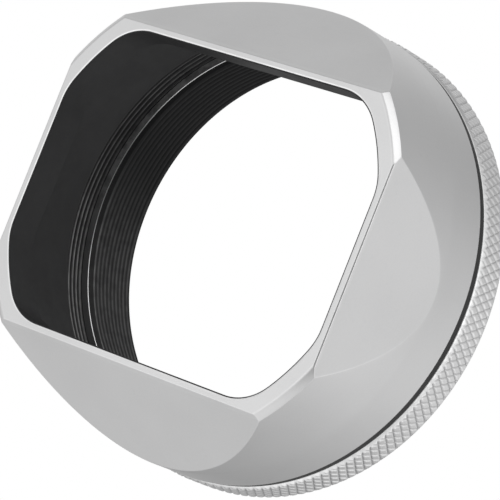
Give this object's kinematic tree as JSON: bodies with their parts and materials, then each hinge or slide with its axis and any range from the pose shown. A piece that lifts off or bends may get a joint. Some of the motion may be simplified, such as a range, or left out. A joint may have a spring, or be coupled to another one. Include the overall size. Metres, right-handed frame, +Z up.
{
  "type": "lens hood",
  "caption": "Silver metal screw-in lens hood with a rectangular front, a round rear, a black threaded mount tube and a knurled lock ring.",
  "frame": {"origin": "on the optical axis, in the rear end face of the mount tube, where it seats against the lens; the thread wall of mount lens_thread starts 0.35 mm in front of it, behind a lead-in chamfer", "axes": "+Y along the optical axis towards the camera, the front opening looks towards -Y, +Z up with the opening's long side level, +X to the right as seen from the front"},
  "size_m": [0.0564, 0.0231, 0.0564],
  "materials": {
    "black_anodised": "matte black anodised, fine thread ridges",
    "silver_anodised": "bead-blasted satin silver anodised outside, matte black inside",
    "black_washer": "smooth matte black",
    "silver_knurl": "diamond-knurled satin silver anodised"
  },
  "bodies": {
    "tube": {"mount_tube": "black_anodised"},
    "shell": {"hood_shell": "silver_anodised"},
    "washer": {"slip_washer": "black_washer"},
    "ring": {"lock_ring": "silver_knurl"}
  },
  "joints": [
    {"name": "hood_turn", "type": "hinge", "parent": "tube", "child": "shell", "pos_m": [0, 0, 0], "axis": [0, 1, 0], "range_deg": [-90, 90]},
    {"name": "ring_travel", "type": "slide", "parent": "tube", "child": "washer", "axis": [0, 1, 0], "range_m": [0, 0.00025]},
    {"name": "lock_turn", "type": "hinge", "parent": "washer", "child": "ring", "pos_m": [0, 0, 0], "axis": [0, 1, 0], "range_deg": [0, 120]}
  ],
  "couplings": [
    {"joint": "ring_travel", "follows": "lock_turn", "m_per_rad": 0.00011937}
  ]
}
